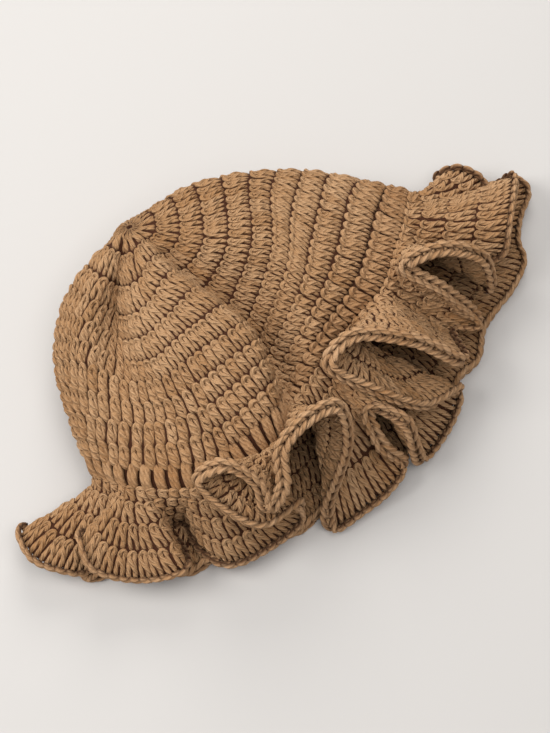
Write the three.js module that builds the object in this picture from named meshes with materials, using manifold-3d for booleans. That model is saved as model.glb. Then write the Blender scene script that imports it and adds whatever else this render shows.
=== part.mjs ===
// A crocheted bucket hat with a gathered ruffle brim, lying on its side as it was put down.
//
// One half of the crown lies flat on the table and the other half stands over it, pushed in by a
// long crease that runs from the crown's centre to the brim. The head opening faces -Y. The brim
// grows to three times the crown's length along its hem, so it lies in deep pleats.
//
// Everything is read from one surface, the middle of the wall. A place on the crown is given by its
// stitch (0 to 72 round the hat) and its round (0 at the centre, 11 at the gathered rim). A place on
// the ruffle is given by how far round the hem it is and how far out from the rim.
// Millimetres, +X along the rim, +Y towards the crown's centre, +Z up, table at Z = 0.

import * as THREE from "three";
import Module from "manifold-3d";

const wasm = await Module();
wasm.setup();

// ---- the stitches ----
const STITCHES = 72; // places round the crown
const ROUND_HEIGHT = 13.75;
const TOP_ROUNDS = 6; // where the domed top turns into the side
const SIDE_ROUNDS = 10; // where the side meets the open gathered round
const RIM_ROUND = 11; // where the ruffle starts

// ---- the wall ----
const WALL = 4; // thickness of the crown's fabric
const RUFFLE_WALL = 3; // the ruffle's taller stitches are thinner
const TRIM_WALL = 3.6; // the corded edging is a little fuller
const SEAM_GAP = 0.36; // clear space between neighbouring pieces
const TOUCH_GAP = 0.01; // pleats that only touch are drawn in this much
const SQUEEZE = 0.75; // share of the room beside a fold that its wall may fill
const LIE = WALL / 2; // height of the middle of the wall where it lies on the table
const RUFFLE_LIE = RUFFLE_WALL / 2;
const HEM_LIE = TRIM_WALL / 2;
const RUFFLE_ROWS = 3; // rows of facets for each stretch of the ruffle
const TRIM_SHARE = 0.09; // share of the brim's width that is edging

// ---- the crown's centre ----
const CENTRE = new THREE.Vector3(-13, 110, 46);
const CENTRE_STITCH = 5; // the stitch that leaves the centre along CENTRE_ACROSS
const CENTRE_ACROSS = new THREE.Vector3(0.62, -0.12, 0.06);
const CENTRE_FORWARD = new THREE.Vector3(-0.02, -0.86, 0.5);

// The middle of the hat lies this far from the point the tables are measured from.
const MIDDLE = new THREE.Vector3(10.164, 14.3, 0);

// Each row is one fold line of the crown, from the centre to the rim: the stitch that it runs
// along, and where it lies at the third round, the sixth, half way down the side and the rim.
const FOLD_COLUMNS = ["fold", "stitch", "third", "sixth", "side", "rim"];
const CROWN_FOLDS = [
  ["right edge", 3, [27, 108, 43], [73, 84, 37], [102, 57, 35], [124, 30, 30]],
  ["right bulge, back", 8, [28, 103, 50], [68, 82, 50], [90, 55, 46], [101, 12, 43]],
  ["right bulge, crest", 12, [20, 87, 54], [57, 73, 54], [58, 30, 56], [70, -7, 47]],
  ["right bulge, front", 16.5, [7, 73, 54], [33, 44, 58], [29, 11, 56], [28, -14, 46]],
  ["crease", 20.2, [-5, 72, 44], [6, 27, 41], [3, -1, 36], [-9, -26, 45]],
  ["crease lip", 22.5, [-16, 72, 58], [-6, 22, 66], [-11, -6, 62], [-27, -36, 50]],
  ["left bulge, front", 25.5, [-32, 67, 55], [-34, 26, 61], [-40, -7, 58], [-53, -36, 48]],
  ["left bulge, crest", 28.5, [-43, 68, 50], [-54, 27, 56], [-59, -3, 54], [-75, -30, 45]],
  ["left dip", 31.5, [-48, 79, 35], [-70, 43, 41], [-79, 10, 44], [-92, -16, 40]],
  ["left bulge, back", 34.5, [-55, 89, 48], [-81, 64, 46], [-94, 27, 40], [-106, 2, 31]],
  ["left edge", 37, [-57, 104, 39], [-88, 80, 32], [-103, 47, 27], [-112, 18, 18]],
  ["left turn under", 41, [-50, 107, 22], [-83, 80, 12], [-96, 44, 7], [-108, 10, 5]],
  ["underside, left", 46, [-35, 108, 9], [-50, 72, -3], [-62, 32, -4], [-74, -14, -3]],
  ["underside, middle", 54, [-10, 112, 7], [4, 66, -4], [6, 22, -4], [2, -30, -3]],
  ["underside, right", 62, [12, 112, 9], [52, 72, -3], [64, 32, -4], [80, -14, -3]],
  ["right turn under", 68, [25, 109, 26], [75, 82, 14], [103, 54, 11], [122, 14, 8]],
];

// Each row is one turn of the ruffle's hem: the pleat that it belongs to, the stitch of the rim
// that it hangs from, and where the hem lies there.
const TURN_COLUMNS = ["pleat", "stitch", "x", "y", "z"];
const HEM_TURNS = [
  ["left tail", 37.8, -159, 20, 8],
  ["left tail", 37.3, -165, 19, 15],
  ["left tail", 36.8, -168, 4, 17],
  ["left tail", 36.2, -160, -10, 13],
  ["left tail", 35.6, -149, -18, 7],
  ["left fan", 35.1, -135, -15, 8],
  ["left fan", 34.7, -134, -7, 18],
  ["left fan", 34.3, -142, -8, 29],
  ["left fan", 34, -147, -22, 26],
  ["left fan", 33.5, -131, -42, 17],
  ["left fan", 32.8, -109, -54, 20],
  ["left tuck", 32.2, -103, -41, 10],
  ["left tuck", 31.3, -100, -27, 5],
  ["left tuck", 30.2, -89, -30, 4],
  ["left tuck", 29.3, -92, -48, 6],
  ["front left apron", 28.3, -87, -65, 11],
  ["front left apron", 26.9, -67, -71, 9],
  ["front left apron", 25.9, -42, -72, 12],
  ["left curl", 25.2, -40, -67, 28],
  ["left curl", 24.6, -66, -65, 42],
  ["left curl", 23.8, -78, -29, 60],
  ["left curl", 23.2, -63, -34, 70],
  ["left curl", 22.8, -55, -52, 62],
  ["left curl", 22.3, -58, -63, 50],
  ["standing fold", 21.8, -46, -61, 60],
  ["standing fold", 21.3, -35, -47, 73],
  ["standing fold", 20.8, -13, -44, 76],
  ["standing fold", 20.2, 3, -48, 70],
  ["standing fold", 19.7, -1, -62, 52],
  ["standing fold", 19.3, -15, -71, 34],
  ["standing fold", 18.9, -27, -77, 16],
  ["front apron", 18.6, -31, -86, 4],
  ["front apron", 18.2, -12, -89, 4],
  ["front apron", 17.9, 6, -90, 8],
  ["front apron", 17.6, 21, -86, 14],
  ["narrow curl", 17.3, 15, -72, 32],
  ["narrow curl", 17, 20, -54, 46],
  ["narrow curl", 16.7, 31, -72, 42],
  ["narrow curl", 16.4, 29, -85, 26],
  ["right apron", 16.1, 33, -89, 6],
  ["right apron", 15.7, 58, -83, 5],
  ["right apron", 15.3, 73, -74, 16],
  ["wide scoop", 15, 46, -71, 37],
  ["wide scoop", 14.55, 27, -51, 55],
  ["wide scoop", 14, 14, -27, 70],
  ["wide scoop", 13.5, 32, -24, 74],
  ["wide scoop", 12.9, 58, -46, 68],
  ["wide scoop", 12.3, 77, -67, 46],
  ["right scoop", 11.9, 90, -46, 26],
  ["right scoop", 11.4, 105, -53, 24],
  ["right scoop", 10.9, 94, -33, 54],
  ["right scoop", 10.3, 81, -12, 73],
  ["right scoop", 9.5, 101, -18, 76],
  ["right scoop", 8.8, 120, -33, 61],
  ["right scoop", 8.2, 122, -43, 32],
  ["right horn", 7.6, 133, -21, 14],
  ["right horn", 7, 143, -30, 26],
  ["right horn", 6.4, 152, -23, 38],
  ["right horn", 5.7, 164, -13, 38],
  ["right horn", 5, 179, 0, 26],
  ["right edge", 4.1, 169, 7, 10],
  ["right edge", 3.2, 168, 17, 13],
  ["right edge", 2.2, 162, 27, 15],
  ["right edge", 1.2, 151, 31, 12],
  ["right tail", 0.3, 154, 20, 5],
  ["right tail", -0.6, 170, 10, 4],
  ["right tail", -1.3, 188, 0, 7],
  ["right tail", -2, 187, -7, 5],
  ["lower right", -2.9, 174, -15, 3],
  ["lower right", -3.6, 162, -26, 3],
  ["lower right", -4.6, 157, -37, 3],
  ["lower right", -5.8, 138, -46, 3],
];

// Under the crown the ruffle lies in even shallow pleats.
const LOWER_PLEATS = 10;
const LOWER_REACH = 51; // from the rim to the middle of a pleat
const LOWER_REACH_SWING = 2;
const LOWER_SWAY = 0; // each turn leans this far to one side
const LOWER_TOP = 6; // height of a pleat's upper turn
const LOWER_FAN = [0.5, -1.5]; // sideways slant of the first and the last pleat
const LOWER_END = -33.5; // stitch of the rim where the left tail takes over

// ---- how finely the surface is followed ----
const STEPS_PER_TURN = 3;

const tableRows = (columns, rows) => rows.map((row) => (
  Object.fromEntries(columns.map((column, index) => [column, row[index]]))
));

const point = ([x, y, z]) => new THREE.Vector3(x, y, z);

/** The cubic between a and b with end slopes given per unit of the knot spacing. */
function hermite(a, slopeA, b, slopeB, span, t) {
  const t2 = t * t;
  const t3 = t2 * t;
  return new THREE.Vector3()
    .addScaledVector(a, 2 * t3 - 3 * t2 + 1)
    .addScaledVector(slopeA, (t3 - 2 * t2 + t) * span)
    .addScaledVector(b, 3 * t2 - 2 * t3)
    .addScaledVector(slopeB, (t3 - t2) * span);
}

/** Slope at the middle of three points, weighted for uneven spacing. */
function middleSlope(before, here, after, spanBefore, spanAfter) {
  const first = here.clone().sub(before).divideScalar(spanBefore);
  const second = after.clone().sub(here).divideScalar(spanAfter);
  return first.multiplyScalar(spanAfter).addScaledVector(second, spanBefore)
    .divideScalar(spanBefore + spanAfter);
}

/** A smooth closed curve through points at rising knots that repeat after a period. */
class ClosedCurve {
  constructor(knots, points, period) {
    this.knots = knots;
    this.points = points;
    this.period = period;
    this.slopes = points.map((here, i) => {
      const before = (i + points.length - 1) % points.length;
      const after = (i + 1) % points.length;
      return middleSlope(
        points[before], here, points[after], this.span(before), this.span(i),
      );
    });
  }

  span(i) {
    const next = this.knots[i + 1] ?? this.knots[0] + this.period;
    return next - this.knots[i];
  }

  /** The stretch between two knots that holds x, and how far along it x is. */
  find(x) {
    const start = this.knots[0];
    const turned = start + ((((x - start) % this.period) + this.period) % this.period);
    let i = this.knots.length - 1;
    while (this.knots[i] > turned) {
      i -= 1;
    }
    return { i, t: (turned - this.knots[i]) / this.span(i) };
  }

  at(x) {
    const { i, t } = this.find(x);
    const next = (i + 1) % this.points.length;
    return hermite(
      this.points[i], this.slopes[i], this.points[next], this.slopes[next], this.span(i), t,
    );
  }
}

// ---- the crown's surface ----
const folds = tableRows(FOLD_COLUMNS, CROWN_FOLDS);
const STATIONS = [
  { name: "third", round: 3 },
  { name: "sixth", round: TOP_ROUNDS },
  { name: "side", round: 8.5 },
  { name: "rim", round: RIM_ROUND },
];
const hoops = STATIONS.map(({ name }) => new ClosedCurve(
  folds.map((fold) => fold.stitch), folds.map((fold) => point(fold[name])), STITCHES,
));

/** The line from the centre to the rim along one stitch. */
function crownLine(stitch) {
  const turn = (2 * Math.PI * (stitch - CENTRE_STITCH)) / STITCHES;
  const leave = new THREE.Vector3()
    .addScaledVector(CENTRE_ACROSS.clone().normalize(), ROUND_HEIGHT * Math.cos(turn))
    .addScaledVector(CENTRE_FORWARD.clone().normalize(), ROUND_HEIGHT * Math.sin(turn));
  const rounds = [0, ...STATIONS.map((station) => station.round)];
  const points = [CENTRE, ...hoops.map((hoop) => hoop.at(stitch))];
  const slopes = points.map((here, i) => {
    if (i === 0) {
      return leave;
    }
    if (i === points.length - 1) {
      return null;
    }
    return middleSlope(
      points[i - 1], here, points[i + 1], rounds[i] - rounds[i - 1], rounds[i + 1] - rounds[i],
    );
  });
  const last = points.length - 1;
  slopes[last] = points[last].clone().sub(points[last - 1])
    .multiplyScalar(1.5 / (rounds[last] - rounds[last - 1]))
    .addScaledVector(slopes[last - 1], -0.5);
  return { rounds, points, slopes };
}

const lifted = (place, least) => {
  place.z = Math.max(place.z, least);
  return place;
};

function crownPoint(stitch, round) {
  const line = crownLine(stitch);
  let i = line.rounds.length - 2;
  while (i > 0 && line.rounds[i] > round) {
    i -= 1;
  }
  const span = line.rounds[i + 1] - line.rounds[i];
  return lifted(hermite(
    line.points[i], line.slopes[i], line.points[i + 1], line.slopes[i + 1],
    span, (round - line.rounds[i]) / span,
  ), LIE);
}

// ---- the hem ----
function lowerTurns(first) {
  const turns = [];
  const count = LOWER_PLEATS * 2;
  for (let k = 0; k < count; k += 1) {
    const share = k / (count - 1);
    const stitch = first + ((LOWER_END - first) * (k + 1)) / (count + 1);
    const slant = LOWER_FAN[0] + (LOWER_FAN[1] - LOWER_FAN[0]) * share;
    const out = new THREE.Vector3(slant, -1, 0).normalize();
    const side = new THREE.Vector3(-out.y, out.x, 0);
    const swing = k % 2 === 0 ? 1 : -1;
    const place = crownPoint(stitch, RIM_ROUND)
      .addScaledVector(out, LOWER_REACH + LOWER_REACH_SWING * swing)
      .addScaledVector(side, LOWER_SWAY * swing);
    place.z = swing > 0 ? HEM_LIE : LOWER_TOP;
    turns.push({ pleat: "underside", stitch, x: place.x, y: place.y, z: place.z });
  }
  return turns;
}

function hemCurve() {
  const table = tableRows(TURN_COLUMNS, HEM_TURNS);
  const all = [...table, ...lowerTurns(table[table.length - 1].stitch)];
  all.sort((a, b) => a.stitch - b.stitch);
  const places = all.map((turn) => new THREE.Vector3(turn.x, turn.y, turn.z));
  // The square root of each step keeps the curve from swinging wide at the tight turns.
  const steps = places.map((place, i) => Math.sqrt(
    place.distanceTo(places[(i + 1) % places.length]),
  ));
  const knots = [0];
  steps.slice(0, -1).forEach((step) => knots.push(knots[knots.length - 1] + step));
  const period = knots[knots.length - 1] + steps[steps.length - 1];
  // The rim's stitches grow along the hem: how far each is ahead of an even count repeats.
  const ahead = all.map((turn, i) => (
    new THREE.Vector3(turn.stitch - (STITCHES * knots[i]) / period, 0, 0)
  ));
  return {
    curve: new ClosedCurve(knots, places, period),
    ahead: new ClosedCurve(knots, ahead, period),
  };
}

const hem = hemCurve();

/** The stitch of the rim that the hem hangs from at t. */
function rootStitch(t) {
  return hem.ahead.at(t).x + (STITCHES * t) / hem.curve.period;
}

// ---- the ruffle's surface: out = 0 at the rim, 1 at the hem ----
const LIFT_RANGE = 40;
const LEAST_SPREAD = 40;
const LEAVING = 0.45;

function rufflePoint(t, out) {
  const line = crownLine(rootStitch(t));
  const rim = lifted(line.points[line.points.length - 1].clone(), LIE);
  const edge = lifted(hem.curve.at(t), HEM_LIE);
  const across = edge.clone().sub(rim);
  const lift = THREE.MathUtils.clamp(across.z / LIFT_RANGE, -0.2, 0.8);
  const leave = line.slopes[line.slopes.length - 1].clone().normalize();
  leave.z += lift;
  leave.normalize().multiplyScalar(Math.max(across.length(), LEAST_SPREAD) * LEAVING);
  const arrive = across.clone().multiplyScalar(1.5).addScaledVector(leave, -0.5);
  const lie = LIE + (RUFFLE_LIE - LIE) * out;
  return lifted(hermite(rim, leave, edge, arrive, 1, out), lie);
}

/** The direction that faces out of the hat at a place on either surface. */
function facing(surface, round, out, stepRound, stepOut, least, most) {
  const near = Math.max(out - stepOut, least);
  const far = Math.min(out + stepOut, most);
  const along = surface(round + stepRound, out).sub(surface(round - stepRound, out));
  const outward = surface(round, far).sub(surface(round, near));
  return along.cross(outward).normalize();
}

const crownFacing = (stitch, round) => (
  facing(crownPoint, stitch, Math.max(round, 0.05), 0.08, 0.04, 0.01, RIM_ROUND)
);

/** At the rim the ruffle faces as the crown does, so that the two edges lie side by side. */
function ruffleFacing(t, out) {
  if (out < 0.02) {
    return crownFacing(rootStitch(t), RIM_ROUND);
  }
  return facing(rufflePoint, t, out, 0.04, 0.02, 0, 1);
}

// ---- walls ----
function solidFrom(corners, index) {
  const flat = corners.flatMap((corner) => [
    corner.x - MIDDLE.x, corner.y - MIDDLE.y, corner.z - MIDDLE.z,
  ]);
  return new wasm.Manifold(new wasm.Mesh({
    numProp: 3,
    vertProperties: new Float32Array(flat),
    triVerts: new Uint32Array(index),
  }));
}

/** A closed solid from an outer and an inner sheet of rows; each row is one closed ring. */
function ringSolid([outer, inner], pole) {
  const rows = outer.length;
  const count = outer[0].length;
  const corners = [...outer.flat(), ...inner.flat()];
  const index = [];
  const outerAt = (row, i) => row * count + (i % count);
  const innerAt = (row, i) => (rows + row) * count + (i % count);
  const quad = (a, b, c, d) => index.push(a, b, c, a, c, d);
  for (let row = 0; row + 1 < rows; row += 1) {
    for (let i = 0; i < count; i += 1) {
      quad(outerAt(row, i), outerAt(row, i + 1), outerAt(row + 1, i + 1), outerAt(row + 1, i));
      quad(innerAt(row, i), innerAt(row + 1, i), innerAt(row + 1, i + 1), innerAt(row, i + 1));
    }
  }
  const last = rows - 1;
  for (let i = 0; i < count; i += 1) {
    quad(outerAt(last, i), outerAt(last, i + 1), innerAt(last, i + 1), innerAt(last, i));
    if (!pole) {
      quad(outerAt(0, i), innerAt(0, i), innerAt(0, i + 1), outerAt(0, i + 1));
    }
  }
  if (pole) {
    const top = corners.push(pole.outer) - 1;
    const under = corners.push(pole.inner) - 1;
    for (let i = 0; i < count; i += 1) {
      index.push(top, outerAt(0, i + 1), outerAt(0, i));
      index.push(under, innerAt(0, i), innerAt(0, i + 1));
    }
  }
  return solidFrom(corners, index);
}

/** The strip of wall between two neighbouring lines of an outer and an inner sheet. */
function stripSolid(outer, inner, i) {
  const next = (i + 1) % outer[0].length;
  const corners = [];
  outer.forEach((line, row) => {
    corners.push(line[i], line[next], inner[row][next], inner[row][i]);
  });
  const index = [];
  const at = (row, corner) => row * 4 + corner;
  const quad = (p, q, r, t) => index.push(p, q, r, p, r, t);
  const last = outer.length - 1;
  for (let row = 0; row < last; row += 1) {
    quad(at(row, 0), at(row, 1), at(row + 1, 1), at(row + 1, 0));
    quad(at(row, 1), at(row, 2), at(row + 1, 2), at(row + 1, 1));
    quad(at(row, 3), at(row + 1, 3), at(row + 1, 2), at(row, 2));
    quad(at(row, 0), at(row + 1, 0), at(row + 1, 3), at(row, 3));
  }
  quad(at(last, 0), at(last, 1), at(last, 2), at(last, 3));
  quad(at(0, 0), at(0, 3), at(0, 2), at(0, 1));
  return solidFrom(corners, index);
}

/** A ring of wall whose strips are joined, so that pleats that touch become one body. */
function pleatedSolid([outer, inner]) {
  return wasm.Manifold.union(outer[0].map((_, i) => stripSolid(outer, inner, i)));
}

/** The solid with room cut for the others; slivers that the cut leaves free are dropped. */
function clearOf(solid, others) {
  const bodies = solid.subtract(wasm.Manifold.union(others)).simplify(0.08).decompose();
  bodies.sort((a, b) => b.volume() - a.volume());
  return bodies[0];
}

function geometryOf(solid) {
  const mesh = solid.getMesh();
  const geometry = new THREE.BufferGeometry();
  geometry.setAttribute("position", new THREE.Float32BufferAttribute(mesh.vertProperties, 3));
  geometry.setIndex(new THREE.Uint32BufferAttribute(mesh.triVerts, 1));
  geometry.computeVertexNormals();
  // Drawn in by a hair, so that two pleats that only touch along a line stand apart there.
  const { position, normal } = geometry.attributes;
  for (let i = 0; i < position.count; i += 1) {
    position.setXYZ(
      i,
      position.getX(i) - TOUCH_GAP * normal.getX(i),
      position.getY(i) - TOUCH_GAP * normal.getY(i),
      position.getZ(i) - TOUCH_GAP * normal.getZ(i),
    );
  }
  geometry.computeVertexNormals();
  return geometry;
}

const even = (from, to, steps) => (
  Array.from({ length: steps + 1 }, (_, i) => from + ((to - from) * i) / steps)
);

/** The places that the hem is followed at, a few to each of its turns. */
const hemSteps = (perTurn) => hem.curve.knots.flatMap((knot, i) => (
  even(knot, knot + hem.curve.span(i), perTurn).slice(0, -1)
));

const crownStitches = even(0, STITCHES, STITCHES).slice(0, -1);

// The middle surface as scattered places, to see how near one fold lies to the next.
const scattered = [
  ...even(0, STITCHES, 2 * STITCHES).slice(0, -1).flatMap((stitch) => (
    even(0.5, RIM_ROUND, 21).map((round) => crownPoint(stitch, round))
  )),
  ...hemSteps(6).flatMap((t) => even(0.1, 1, 9).map((out) => rufflePoint(t, out))),
];

/** The largest ball that touches the surface here, on the given side, without meeting a fold. */
function roomBeside(place, face, sign) {
  const offset = new THREE.Vector3();
  let least = Infinity;
  scattered.forEach((other) => {
    offset.subVectors(other, place);
    const height = sign * offset.dot(face);
    if (height > 0.05) {
      least = Math.min(least, offset.lengthSq() / (2 * height));
    }
  });
  return least;
}

/** Half the wall to either side of the middle surface, squeezed where folds press together. */
function sheets(surface, across, outs, thickness, squeeze = SQUEEZE) {
  const side = (sign) => outs.map((out) => across.map((round) => {
    const place = surface.place(round, out);
    const face = surface.face(round, out);
    const reach = Math.min(thickness / 2, squeeze * roomBeside(place, face, sign));
    return lifted(place.addScaledVector(face, sign * reach), 0);
  }));
  return [side(1), side(-1)];
}

const crownSurface = { place: crownPoint, face: crownFacing };
const ruffleSurface = { place: rufflePoint, face: ruffleFacing };

function crownWall(fromRound, toRound) {
  const gap = SEAM_GAP / 2 / ROUND_HEIGHT;
  const steps = toRound - fromRound;
  const rounds = even(fromRound, toRound, steps);
  rounds[steps] -= toRound === RIM_ROUND ? 4 * gap : gap;
  if (fromRound > 0) {
    rounds[0] += gap;
    return ringSolid(sheets(crownSurface, crownStitches, rounds, WALL));
  }
  const up = new THREE.Vector3().crossVectors(CENTRE_FORWARD, CENTRE_ACROSS).normalize();
  return ringSolid(sheets(crownSurface, crownStitches, rounds.slice(1), WALL), {
    outer: CENTRE.clone().addScaledVector(up, WALL / 2),
    inner: CENTRE.clone().addScaledVector(up, -WALL / 2),
  });
}

const BRIM_WIDTH = 54;

function brimWall(from, to, steps, thickness, squeeze = SQUEEZE) {
  const gap = SEAM_GAP / 2 / BRIM_WIDTH;
  const outs = even(from, to, steps);
  outs[0] += gap;
  if (to < 1) {
    outs[steps] -= gap;
  }
  const across = hemSteps(STEPS_PER_TURN);
  return pleatedSolid(sheets(ruffleSurface, across, outs, thickness, squeeze));
}

// ---- the hat ----
const YARN = { color: "#a17a55", roughness: 0.92, metalness: 0 };
const YARN_DEEP = { color: "#8c6746", roughness: 0.94, metalness: 0 };
const YARN_EDGE = { color: "#a88160", roughness: 0.9, metalness: 0 };

const TRIM_FROM = 1 - TRIM_SHARE;
const crownTop = crownWall(0, TOP_ROUNDS);
const sideWall = crownWall(TOP_ROUNDS, SIDE_ROUNDS);
const gatherBand = crownWall(SIDE_ROUNDS, RIM_ROUND);
const ruffleWall = brimWall(0, TRIM_FROM, RUFFLE_ROWS, RUFFLE_WALL);
const ruffle = clearOf(ruffleWall, [gatherBand]);
const fuller = brimWall(0, TRIM_FROM, RUFFLE_ROWS, RUFFLE_WALL + 2 * SEAM_GAP, 1.1);
const edgeTrim = clearOf(brimWall(TRIM_FROM, 1, 1, TRIM_WALL), [fuller, ruffle]);

const hat = new THREE.Group();
hat.name = "crochet_bucket_hat";

function add(name, solid, look) {
  const mesh = new THREE.Mesh(geometryOf(solid), new THREE.MeshStandardMaterial(look));
  mesh.name = name;
  hat.add(mesh);
}

add("crown_top", crownTop, YARN);
add("side_wall", sideWall, YARN);
add("gather_band", gatherBand, YARN_DEEP);
add("ruffle", ruffle, YARN);
add("edge_trim", edgeTrim, YARN_EDGE);

export default hat;
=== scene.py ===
"""A crocheted bucket hat with a gathered ruffle brim, lying on its side on a pale table.

The hat is worked in rounds from the centre of its crown. Every stitch is a few strands of
yarn that follow the middle of the hat's wall, so the pieces here share one surface: a place
on the crown is a stitch (0 to 72 round the hat) and a round (0 at the centre, 11 at the
gathered rim), and a place on the ruffle is a distance along the hem and a share of the way
out from the rim. Lengths are in millimetres until a mesh is made.
"""

import logging
import math
from dataclasses import dataclass, field
from enum import Enum

import bpy
import numpy as np
from mathutils import Matrix, Vector


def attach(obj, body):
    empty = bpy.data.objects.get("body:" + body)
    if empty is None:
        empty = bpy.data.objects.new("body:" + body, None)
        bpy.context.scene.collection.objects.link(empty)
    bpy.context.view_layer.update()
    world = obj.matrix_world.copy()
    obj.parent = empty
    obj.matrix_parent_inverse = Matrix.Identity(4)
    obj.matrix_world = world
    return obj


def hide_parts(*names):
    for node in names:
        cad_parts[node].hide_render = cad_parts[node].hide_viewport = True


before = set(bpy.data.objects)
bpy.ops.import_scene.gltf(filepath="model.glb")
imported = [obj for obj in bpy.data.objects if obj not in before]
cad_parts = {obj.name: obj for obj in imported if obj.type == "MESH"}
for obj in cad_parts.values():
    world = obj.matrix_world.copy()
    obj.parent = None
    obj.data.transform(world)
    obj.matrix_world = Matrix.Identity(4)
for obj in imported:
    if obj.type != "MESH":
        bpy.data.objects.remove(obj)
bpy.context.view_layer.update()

LOG = logging.getLogger("crochet_hat")

# Each row is one fold line of the crown, from the centre to the rim: its name, the stitch
# that it runs along, and where it lies at the third round, the sixth, half way down the
# side and the rim.
CROWN_FOLDS: tuple[tuple, ...] = (
    ("right edge", 3, (27, 108, 43), (73, 84, 37), (102, 57, 35), (124, 30, 30)),
    ("right bulge, back", 8, (28, 103, 50), (68, 82, 50), (90, 55, 46), (101, 12, 43)),
    ("right bulge, crest", 12, (20, 87, 54), (57, 73, 54), (58, 30, 56), (70, -7, 47)),
    ("right bulge, front", 16.5, (7, 73, 54), (33, 44, 58), (29, 11, 56), (28, -14, 46)),
    ("crease", 20.2, (-8, 73, 45), (1, 27, 41), (-4, 0, 36), (-11, -27, 45)),
    ("crease lip", 22.5, (-16, 72, 58), (-6, 22, 66), (-11, -6, 62), (-27, -36, 50)),
    ("left bulge, front", 25.5, (-32, 67, 55), (-34, 26, 61), (-40, -7, 58), (-53, -36, 48)),
    ("left bulge, crest", 28.5, (-43, 68, 50), (-54, 27, 56), (-59, -3, 54), (-75, -30, 45)),
    ("left dip", 31.5, (-48, 79, 35), (-70, 43, 41), (-79, 10, 44), (-92, -16, 40)),
    ("left bulge, back", 34.5, (-55, 89, 48), (-81, 64, 46), (-94, 27, 40), (-106, 2, 31)),
    ("left edge", 37, (-57, 104, 39), (-88, 80, 32), (-103, 47, 27), (-112, 18, 18)),
    ("left turn under", 41, (-50, 107, 22), (-83, 80, 12), (-96, 44, 7), (-108, 10, 5)),
    ("underside, left", 46, (-35, 108, 9), (-50, 72, -3), (-62, 32, -4), (-74, -14, -3)),
    ("underside, middle", 54, (-10, 112, 7), (4, 66, -4), (6, 22, -4), (2, -30, -3)),
    ("underside, right", 62, (12, 112, 9), (52, 72, -3), (64, 32, -4), (80, -14, -3)),
    ("right turn under", 68, (25, 109, 26), (75, 82, 14), (103, 54, 11), (122, 14, 8)),
)

# The turns of the ruffle's hem, pleat by pleat: the stitch of the rim that each turn hangs
# from, and the x, y and z of the hem there.
HEM_TURNS: dict[str, tuple[tuple[float, ...], ...]] = {
    "left tail": (
        (37.8, -159, 20, 8), (37.3, -165, 19, 15), (36.8, -168, 4, 17), (36.2, -160, -10, 13),
        (35.6, -149, -18, 7),
    ),
    "left fan": (
        (35.1, -135, -15, 8), (34.7, -134, -7, 18), (34.3, -142, -8, 29), (34, -147, -22, 26),
        (33.5, -131, -42, 17), (32.8, -109, -54, 20),
    ),
    "left tuck": (
        (32.2, -103, -41, 10), (31.3, -100, -27, 5), (30.2, -89, -30, 4), (29.3, -92, -48, 6),
    ),
    "front left apron": (
        (28.3, -87, -65, 11), (26.9, -67, -71, 9), (25.9, -42, -72, 12),
    ),
    "left curl": (
        (25.2, -40, -67, 28), (24.6, -66, -65, 42), (23.8, -78, -29, 60), (23.2, -63, -34, 70),
        (22.8, -55, -52, 62), (22.3, -58, -63, 50),
    ),
    "standing fold": (
        (21.8, -46, -61, 60), (21.3, -35, -47, 73), (20.8, -13, -44, 76), (20.2, 3, -48, 70),
        (19.7, -1, -62, 52), (19.3, -15, -71, 34), (18.9, -27, -77, 16),
    ),
    "front apron": (
        (18.6, -31, -86, 4), (18.2, -12, -89, 4), (17.9, 6, -90, 8), (17.6, 21, -86, 14),
    ),
    "narrow curl": (
        (17.3, 15, -72, 32), (17, 20, -54, 46), (16.7, 31, -72, 42), (16.4, 29, -85, 26),
    ),
    "right apron": (
        (16.1, 33, -89, 6), (15.7, 58, -83, 5), (15.3, 73, -74, 16),
    ),
    "wide scoop": (
        (15, 46, -71, 37), (14.55, 27, -51, 55), (14, 14, -27, 70), (13.5, 32, -24, 74),
        (12.9, 58, -46, 68), (12.3, 77, -67, 46),
    ),
    "right scoop": (
        (11.9, 90, -46, 26), (11.4, 105, -53, 24), (10.9, 94, -33, 54), (10.3, 81, -12, 73),
        (9.5, 101, -18, 76), (8.8, 120, -33, 61), (8.2, 122, -43, 32),
    ),
    "right horn": (
        (7.6, 133, -21, 14), (7, 143, -30, 26), (6.4, 152, -23, 38), (5.7, 164, -13, 38),
        (5, 179, 0, 26),
    ),
    "right edge": (
        (4.1, 169, 7, 10), (3.2, 168, 17, 13), (2.2, 162, 27, 15), (1.2, 151, 31, 12),
    ),
    "right tail": (
        (0.3, 154, 20, 5), (-0.6, 170, 10, 4), (-1.3, 188, 0, 7), (-2, 187, -7, 5),
    ),
    "lower right": (
        (-2.9, 174, -15, 3), (-3.6, 162, -26, 3), (-4.6, 157, -37, 3), (-5.8, 138, -46, 3),
    ),
}

MILLIMETRE = 0.001
TINY = 1e-9

STITCHES = 72
ROUND_HEIGHT = 13.75
RIM_ROUND = 11.0

# The middle of the hat over the table, which the frame has at its origin.
MIDDLE = np.array((10.164, 14.3, 0.0))

# The centre of the crown: its place, the stitch that points across it, and the directions
# that it faces across and forward.
CENTRE = np.array((-13.0, 110.0, 46.0))
CENTRE_STITCH = 5.0
CENTRE_ACROSS = np.array((0.62, -0.12, 0.06))
CENTRE_FORWARD = np.array((-0.02, -0.86, 0.50))

# The least height over the table of the wall's middle in each part, of the two faces of the
# dark backing of painted shade, and of the lowest side of any yarn.
CROWN_LIE = 2.0
RUFFLE_LIE = 1.5
HEM_LIE = 1.8
GROUND_TOP_LIE = 0.9
GROUND_FOOT_LIE = 0.3
YARN_LIE = 0.15

# How much painted shade darkens the yarn at the side of a strand, how fast that fades towards
# its top and how dark it gets at the most; and how far below the wall's middle the painted
# shade of a sunk strand starts.
FLANK_SHADE = 0.38
FLANK_FADE = 0.85
FLANK_MOST = 0.85
SINK_SHADE_FROM = 0.1

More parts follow.
